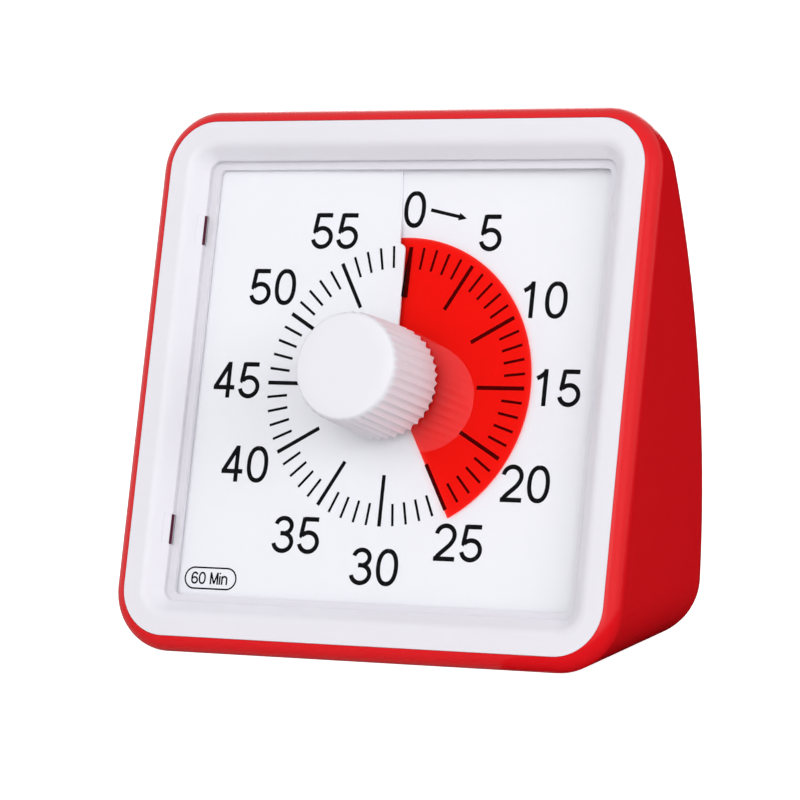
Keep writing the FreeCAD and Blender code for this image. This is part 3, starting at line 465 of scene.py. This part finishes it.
def draw_ink(name, lines):
    """Ink lines on the card. A line is (points, width in millimetres)."""
    curve = bpy.data.curves.new(name, "CURVE")
    curve.dimensions = "3D"
    curve.bevel_depth = 1.0
    curve.bevel_resolution = 3
    curve.use_fill_caps = True
    for points, width in lines:
        spline = curve.splines.new("POLY")
        spline.points.add(len(points) - 1)
        for spot, (x, y) in zip(spline.points, points):
            spot.co = (x, y, 0, 1)
            spot.radius = width / 2
    drawn = bpy.data.objects.new(name + "_line", curve)
    bpy.context.scene.collection.objects.link(drawn)
    bpy.context.view_layer.update()
    flat = bpy.data.meshes.new_from_object(drawn.evaluated_get(bpy.context.evaluated_depsgraph_get()))
    bpy.data.objects.remove(drawn)
    for point in flat.vertices:
        x, y, z = point.co
        point.co.z = card_front(x, y) + 0.012 + z * 0.03
    piece = bpy.data.objects.new(name, flat)
    bpy.context.scene.collection.objects.link(piece)
    place_on_dial(piece)
    flat.materials.clear()
    flat.materials.append(ink)
    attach(piece, "case_body")
    print(name, len(flat.polygons), "faces")
    return piece


# %% [markdown]
# Sixty short lines mark the minutes, and every fifth one is longer and heavier. The ring was
# printed a touch off centre, and the card bends near the cut, so each tick's outer end and turn are
# read from a small table, in millimetres and degrees, at angles round the dial.

# %% The sixty ticks
def ray(angle, r0, r1):
    """Two points on a radial line."""
    a = math.radians(angle)
    return [(r0 * math.sin(a), r0 * math.cos(a)), (r1 * math.sin(a), r1 * math.cos(a))]


LONG, SHORT = 13.0, 5.65
HEAVY, LIGHT = 1.02, 0.68
RING = ((0, 35.8, 1.0), (30, 35.95, 0.6), (60, 36.1, 0.1), (90, 35.95, -0.25), (120, 35.6, -0.4),
        (150, 35.55, -0.05), (180, 35.6, 0.0), (270, 35.5, 0.15), (300, 35.5, 0.4), (360, 35.8, 0.6))


def ring(angle):
    """Outer radius and turn of the tick at an angle."""
    for (a0, r0, t0), (a1, r1, t1) in zip(RING, RING[1:]):
        if angle <= a1:
            k = (angle - a0) / (a1 - a0)
            return r0 + (r1 - r0) * k, t0 + (t1 - t0) * k


ticks = []
for minute in range(60):
    outer, twist = ring(minute * 6)
    length, width = (LONG, HEAVY) if minute % 5 == 0 else (SHORT, LIGHT)
    ticks.append((ray(minute * 6 + twist, outer - length, outer), width))
draw_ink("dial_ticks", ticks)

# %% [markdown]
# The figures are plain and open, with a flag on the one and no foot under it, as the card shows.

# %% The figures nought to five
DIGITS = {
    "0": [arc(0, 0.5, 0.265, 0.445, 90, 450, 2.25, 40)],
    "1": [[(0.06, 0), (0.06, 1)],
          [(0.075, 0.955), (0.0, 0.865), (-0.09, 0.795), (-0.19, 0.745)]],
    "2": [arc(0, 0.69, 0.262, 0.255, 172, 0) + [(0.255, 0.62), (0.22, 0.54), (0.15, 0.44),
                                                 (0.03, 0.33), (-0.1, 0.22), (-0.19, 0.13),
                                                 (-0.235, 0.06)],
          [(-0.305, 0.056), (0.32, 0.056)]],
    "3": [arc(-0.01, 0.735, 0.235, 0.21, 168, -75), [(-0.1, 0.53), (0.03, 0.53)],
          arc(-0.01, 0.29, 0.272, 0.24, 82, -172)],
    "4": [[(0.13, 0), (0.13, 1)], [(0.12, 0.95), (-0.27, 0.3)], [(-0.325, 0.29), (0.325, 0.29)]],
    "5": [[(-0.175, 0.94), (0.27, 0.94)], [(-0.16, 0.985), (-0.232, 0.475)],
          [(-0.262, 0.505), (-0.19, 0.46)],
          arc(-0.002, 0.315, 0.272, 0.262, 139, -168)],
    "6": [arc(0, 0.31, 0.255, 0.25, 90, 450),
          arc(0.01, 0.5, 0.265, 0.443, 35, 190, 2.2)],
}
FIGURES = (("0", 0.87, 45.35), ("5", 22.53, 39.45), ("10", 38.68, 22.53), ("15", 44.59, 0.51),
           ("20", 38.83, -23.57), ("25", 22.29, -38.85), ("30", -0.15, -45.76),
           ("35", -22.98, -38.58), ("40", -39.73, -20.99), ("45", -44.64, 0.6),
           ("50", -37.0, 24.88), ("55", -20.73, 39.52))
TALL = 9.3
PITCH = 0.775
PEN = 1.18


def write(text, cx, cy, tall, pen, pitch):
    """The strokes of a row of figures round a middle."""
    strokes = []
    for i, sign in enumerate(text):
        x0 = cx + (i - (len(text) - 1) / 2) * pitch * tall
        for stroke in DIGITS[sign]:
            strokes.append(([(x0 + x * tall, cy + (y - 0.5) * tall) for x, y in stroke], pen))
    return strokes


lines = []
for text, x, y in FIGURES:
    lines += write(text, x, y, TALL, PEN, PITCH)
draw_ink("dial_figures", lines)

# %% [markdown]
# A small arrow at the nought shows which way the minutes run, and a rounded frame in the corner
# holds the length of the scale.

# %% Arrow and label
tip = Vector((15.67, 43.01))
tail = Vector((5.4, 45.2))
along = (tip - tail).normalized()
side = Vector((-along.y, along.x))
neck = tip - along * 2.2
arrow = [([tuple(tail), tuple(neck)], 0.9)]
for k in range(7):
    s = k / 6
    spot = neck + along * 2.2 * s * 0.97
    reach = side * (0.95 * (1 - s))
    arrow.append(([tuple(spot - reach), tuple(spot + reach)], 0.36))
draw_ink("dial_arrow", arrow)

LABEL_X, LABEL_Y = -46.2, -50.6
HALF_W, HALF_H = 7.35, 2.68
frame_line = arc(LABEL_X + HALF_W - HALF_H, LABEL_Y, HALF_H, HALF_H, -90, 90) \
    + arc(LABEL_X - HALF_W + HALF_H, LABEL_Y, HALF_H, HALF_H, 90, 270)
label = [(frame_line + [frame_line[0]], 0.42)]
tall = 3.05
word = LABEL_X - 5.55
for sign, width in (("6", 0.66), ("0", 0.78)):
    for stroke in DIGITS[sign]:
        label.append(([(word + (x + 0.32) * tall, LABEL_Y + (y - 0.5) * tall) for x, y in stroke],
                      0.46))
    word += width * tall * 1.08
LETTERS = {
    "M": ([[(0.06, 0), (0.06, 1)], [(0.06, 1), (0.38, 0.06)], [(0.38, 0.06), (0.7, 1)],
           [(0.7, 0), (0.7, 1)]], 0.86),
    "i": ([[(0.05, 0), (0.05, 0.72)], [(0.05, 0.88), (0.05, 1.0)]], 0.22),
    "n": ([[(0.05, 0), (0.05, 0.72)], arc(0.27, 0.45, 0.22, 0.24, 180, 0) + [(0.49, 0)]], 0.6),
}
word += 0.24 * tall
for sign in "Min":
    strokes, width = LETTERS[sign]
    for stroke in strokes:
        label.append(([(word + x * tall, LABEL_Y + (y - 0.5) * tall) for x, y in stroke], 0.46))
    word += width * tall
draw_ink("dial_label", label)

# %% [markdown]
# Two pairs of small tabs hold the lens, and each sits in a slot at the foot of the frame's slope. The moulding
# closes the slot's outer part, so that only a thin slit is left; where it shows, its dark is a bar of painted
# shade. One closing lip is made from a bar whose top is cut to the slope, and the others are mirrored copies of
# it.

# %% Closing lips of the lens slots
SLOT_UP, SLOT_LONG = 38.9, 7.7
OPENING, FOOT = 57.2, 4.2
SLIT = 0.2
SLOPE = math.tan(math.radians(50))
bpy.ops.object.select_all(action="DESELECT")
bpy.ops.mesh.primitive_cube_add(size=1)
lip = bpy.context.object
lip.name = "slot_lip"
lip.data.transform(Matrix.Translation((-OPENING - SLIT - 0.75, SLOT_UP, 3.9))
                   @ Matrix.Diagonal((1.6, SLOT_LONG + 0.06, 5.2, 1)))
start_edit(lip)
bpy.ops.mesh.select_all(action="SELECT")
bpy.ops.mesh.bisect(plane_co=(-OPENING, 0, FOOT + 0.012), plane_no=(SLOPE, 0, 1), clear_outer=True,
                    use_fill=True)
bpy.ops.mesh.select_all(action="SELECT")
bpy.ops.mesh.bisect(plane_co=(-OPENING - 1.45, 0, 0), plane_no=(-1, 0, 0), clear_outer=True,
                    use_fill=True)
bpy.ops.mesh.select_all(action="SELECT")
bpy.ops.mesh.normals_make_consistent(inside=False)
end_edit()


def mirrored(piece, x, y):
    """A copy of a piece, mirrored across the dial where x or y is -1."""
    twin = piece.copy()
    twin.data = piece.data.copy()
    twin.data.transform(Matrix.Diagonal((x, y, 1, 1)))
    if x * y < 0:
        twin.data.flip_normals()
    bpy.context.scene.collection.objects.link(twin)
    return twin


lips = [lip] + [mirrored(lip, x, y) for x, y in ((1, -1), (-1, 1), (-1, -1))]
for i, piece in enumerate(lips):
    piece.name = "slot_lip_%d" % (i + 1)
    place_on_dial(piece)
    piece.data.materials.append(finish["frame_white"])
    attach(piece, "case_body")
print("slot lips:", len(lips))

# %% [markdown]
# In the two slots on the left the red inside of the case shows in shade as a thin dark line. On the right the
# slope hides it. A narrow bar with softened edges stands in the gap beside the lens for it, coloured a dark red
# that is painted shade.

# %% The dark line in each slot: a bar of painted shade
# A much darker copy of the case's red: painted shade for the shadowed inside of the slot.
painted_shade_red = moulded("abs_red_inside", "541a30", "4a162a", 0.5, 0.8, 0.002, 0.1)
bpy.ops.object.select_all(action="DESELECT")
bpy.ops.mesh.primitive_cube_add(size=1)
painted_shadow_bar = bpy.context.object
painted_shadow_bar.name = "slot_line"
painted_shadow_bar.data.transform(Matrix.Translation((-57.16, SLOT_UP, 3.75))
                    @ Matrix.Diagonal((0.42, 7.6, 0.9, 1)))
start_edit(painted_shadow_bar)
bpy.ops.mesh.select_all(action="SELECT")
bpy.ops.mesh.bevel(offset=0.12, segments=2)
end_edit()
painted_shadow_bars = [painted_shadow_bar, mirrored(painted_shadow_bar, 1, -1)]
for i, piece in enumerate(painted_shadow_bars):
    piece.name = "slot_line_%d" % (i + 1)
    place_on_dial(piece)
    piece.data.materials.append(painted_shade_red)
    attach(piece, "case_body")
print("dark lines:", len(painted_shadow_bars))

# %% [markdown]
# The knob is moulded with forty ribs, narrow and a little pointed, with hollow valleys between. It
# narrows slightly to the front, and towards the soft front edge the valleys run out, so that the
# flat face is plain. A ring of points is raised level by level: at each level the points between
# the ribs are drawn in by how deep the valley is there. Each level is a height, how far the ribs
# stand out or fall back there, and the depth of the valleys. The whole stays a little inside the
# construction model's knob.

# %% The knob's outline, level by level
RIBS = 40
STEPS = 8
RING_POINTS = RIBS * STEPS
CLEAR = 0.12
BASE_R, TOP_R, BASE_N, FRONT_N = 14.6, 13.9, 4.8, 27.4
LEVELS = ((BASE_N, 0.0, 0.70), (BASE_N + 0.25, 0.12, 0.72), (12.0, 0.12, 0.72), (19.0, 0.12, 0.66),
          (24.0, 0.12, 0.54), (25.2, 0.10, 0.42), (25.9, 0.02, 0.31), (26.4, -0.12, 0.20),
          (26.8, -0.31, 0.11), (27.1, -0.52, 0.04), (27.3, -0.76, 0.0), (FRONT_N, -1.05, 0.0))


def knob_radius(height, swell, valley, step):
    """Radius of a point of the outline. step counts round the ring, from one rib to the next."""
    run = (height - BASE_N) / (FRONT_N - BASE_N)
    between = 2 * (step % STEPS) / STEPS - 1
    return BASE_R + (TOP_R - BASE_R) * run + swell - CLEAR - valley * (1 - abs(between) ** 1.7)


bpy.ops.object.select_all(action="DESELECT")
bpy.ops.mesh.primitive_circle_add(vertices=RING_POINTS, radius=1.0)
grip = bpy.context.object
grip.name = "knob_ribbed"
start_edit(grip)
for _ in LEVELS[1:]:
    bpy.ops.mesh.select_all(action="DESELECT")
    bpy.ops.object.mode_set(mode="OBJECT")
    for vertex in grip.data.vertices[-RING_POINTS:]:
        vertex.select = True
    bpy.ops.object.mode_set(mode="EDIT")
    bpy.ops.mesh.select_mode(type="EDGE")
    bpy.ops.mesh.select_mode(type="VERT")
    bpy.ops.mesh.extrude_region_move(TRANSFORM_OT_translate={"value": (0, 0, 1)})
end_edit()
print("knob rings:", len(grip.data.vertices) // RING_POINTS)
for vertex in grip.data.vertices:
    level = round(vertex.co.z)
    height, swell, valley = LEVELS[level]
    step = round(math.atan2(vertex.co.y, vertex.co.x) / math.tau * RING_POINTS) % RING_POINTS
    angle = step / RING_POINTS * math.tau
    radius = knob_radius(height, swell, valley, step)
    vertex.co = (radius * math.cos(angle), radius * math.sin(angle), height)

# %% Close the knob's front and hollow its back
start_edit(grip)
pick(grip, "vertices", lambda p: p.z > FRONT_N - 0.001)
bpy.ops.mesh.extrude_region_move()
bpy.ops.transform.resize(value=(0.75, 0.75, 1), center_override=(0, 0, FRONT_N))
bpy.ops.mesh.extrude_region_move()
bpy.ops.transform.resize(value=(0.02, 0.02, 1), center_override=(0, 0, FRONT_N))
bpy.ops.mesh.edge_face_add()
pick(grip, "vertices", lambda p: p.z < BASE_N + 0.001)
for scale, rise in ((0.86, 0.0), (1.0, 16.5), (0.02, 0.0)):
    bpy.ops.mesh.extrude_region_move(TRANSFORM_OT_translate={"value": (0, 0, rise)})
    bpy.ops.transform.resize(value=(scale, scale, 1), center_override=(0, 0, 0))
bpy.ops.mesh.edge_face_add()
bpy.ops.mesh.select_all(action="SELECT")
bpy.ops.mesh.normals_make_consistent(inside=False)
end_edit()
bpy.ops.object.shade_smooth_by_angle(angle=math.radians(50))
place_on_dial(grip)
grip.data.materials.append(finish["knob_white"])
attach(grip, "knob_body")
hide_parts("knob")
print("knob:", len(grip.data.polygons), "faces", [round(c, 4) for c in grip.dimensions])

# %% [markdown]
# The floor is plain and white. Its own shadow catches what light the object takes away, and a
# share of glow that only the camera sees brings the rest to white, as in a product photograph.
# The world is white to the camera, to mirrors and through clear parts, and a soft grey to
# everything else, so that it fills the shadows and no more.

# %% Floor and world
bpy.ops.object.select_all(action="DESELECT")
bpy.ops.mesh.primitive_plane_add(size=12, location=(0, 0, 0))
floor = bpy.context.object
floor.name = "floor"
material, tree, end = blank("paper_sweep_white")
rays = add(tree, "ShaderNodeLightPath")
paper = add(tree, "ShaderNodeBsdfDiffuse", {}, {"Color": (0.7, 0.7, 0.7, 1)})
share = add(tree, "ShaderNodeMath", {"operation": "MULTIPLY"}, {})
tree.links.new(rays.outputs["Is Camera Ray"], share.inputs[0])
share.inputs[1].default_value = 0.93
glow = add(tree, "ShaderNodeEmission", {}, {"Color": (1, 1, 1, 1), "Strength": share.outputs["Value"]})
sum_up = add(tree, "ShaderNodeAddShader")
tree.links.new(paper.outputs["BSDF"], sum_up.inputs[0])
tree.links.new(glow.outputs["Emission"], sum_up.inputs[1])
tree.links.new(sum_up.outputs["Shader"], end.inputs["Surface"])
floor.data.materials.append(material)

world = bpy.data.worlds.new("studio")
bpy.context.scene.world = world
world.use_nodes = True
tree = world.node_tree
tree.nodes.clear()
end = add(tree, "ShaderNodeOutputWorld")
rays = add(tree, "ShaderNodeLightPath")
seen = rays.outputs["Is Camera Ray"]
for kind in ("Is Glossy Ray", "Is Transmission Ray"):
    either = add(tree, "ShaderNodeMath", {"operation": "MAXIMUM"})
    tree.links.new(seen, either.inputs[0])
    tree.links.new(rays.outputs[kind], either.inputs[1])
    seen = either.outputs["Value"]
way = add(tree, "ShaderNodeSeparateXYZ", {},
          {"Vector": add(tree, "ShaderNodeTexCoord").outputs["Generated"]})
front = add(tree, "ShaderNodeMapRange", {}, {"Value": way.outputs["Y"], "From Min": -1.0,
                                              "From Max": 0.6, "To Min": 0.85, "To Max": 0.25})
level = add(tree, "ShaderNodeMix", {"data_type": "FLOAT"}, {"Factor": seen})
tree.links.new(front.outputs["Result"], level.inputs["A"])
level.inputs["B"].default_value = 1.0
sky = add(tree, "ShaderNodeBackground", {}, {"Color": (1, 1, 1, 1), "Strength": level.outputs["Result"]})
tree.links.new(sky.outputs["Background"], end.inputs["Surface"])
print("floor and world set")

# %% [markdown]
# The light comes from large soft boxes: the main one high in front, smaller ones at the left, the
# right, the side and the back, and a tall narrow strip in front, which draws a fine bright line
# along rolled edges. Two of them are hidden from mirrors, to keep the red plain. A black card
# stands where the lens would mirror the room, as a photographer sets it to keep the dial dark and
# clean, and a larger one lies and stands at the right, where the red side would mirror the white
# floor. Only mirrors see them.

# %% Lamps and the black cards
def lamp(name, place, aim, width, height, watts):
    data = bpy.data.lights.new(name, "AREA")
    data.shape = "RECTANGLE"
    data.size = width
    data.size_y = height
    data.energy = watts
    box = bpy.data.objects.new(name, data)
    bpy.context.scene.collection.objects.link(box)
    box.location = place
    box.rotation_euler = (Vector(aim) - Vector(place)).to_track_quat("-Z", "Y").to_euler()
    return box


aim = (0, 0, 0.06)
lamp("main_soft_box", (0.15, -1.5, 0.7), aim, 1.3, 1.0, 5.5)
lamp("left_soft_box", (-1.2, -0.8, 0.6), aim, 0.6, 0.9, 1.4)
lamp("right_soft_box", (0.85, -1.25, 0.35), aim, 0.9, 0.8, 3.8).visible_glossy = False
lamp("side_soft_box", (1.5, -0.7, 0.6), aim, 0.8, 0.8, 7.0).visible_glossy = False
lamp("back_soft_box", (-0.4, 1.5, 0.8), aim, 1.1, 0.9, 5.5)
lamp("front_strip", (0.12, -1.3, 0.72), aim, 0.05, 0.8, 0.9)

bpy.ops.mesh.primitive_plane_add(size=1)
flag = bpy.context.object
flag.name = "black_card"
flag.data.transform(Matrix.Diagonal((0.30, 0.30, 1, 1)))
flag.matrix_world = DIAL @ Matrix.Translation((-0.308, 0.105, 0.6))
material, tree, end = blank("black_flock")
soot = add(tree, "ShaderNodeBsdfDiffuse", {}, {"Color": (0.004, 0.004, 0.004, 1)})
tree.links.new(soot.outputs["BSDF"], end.inputs["Surface"])
flag.data.materials.append(material)
bpy.ops.object.select_all(action="DESELECT")
bpy.ops.mesh.primitive_plane_add(size=1)
cove = bpy.context.object
cove.name = "black_cove"
cove.data.transform(Matrix.Translation((0.56, 0.42, 0.0006)) @ Matrix.Diagonal((1.04, 1.16, 1, 1)))
start_edit(cove)
pick(cove, "edges", lambda p: p.y > 0.9)
bpy.ops.mesh.extrude_region_move(TRANSFORM_OT_translate={"value": (0, 0, 0.7)})
end_edit()
cove.data.materials.append(material)
for card_black in (flag, cove):
    card_black.visible_camera = False
    card_black.visible_diffuse = False
    card_black.visible_shadow = False
    card_black.visible_transmission = False

# %% The picture's tone
scene = bpy.context.scene
scene.view_settings.view_transform = "Standard"
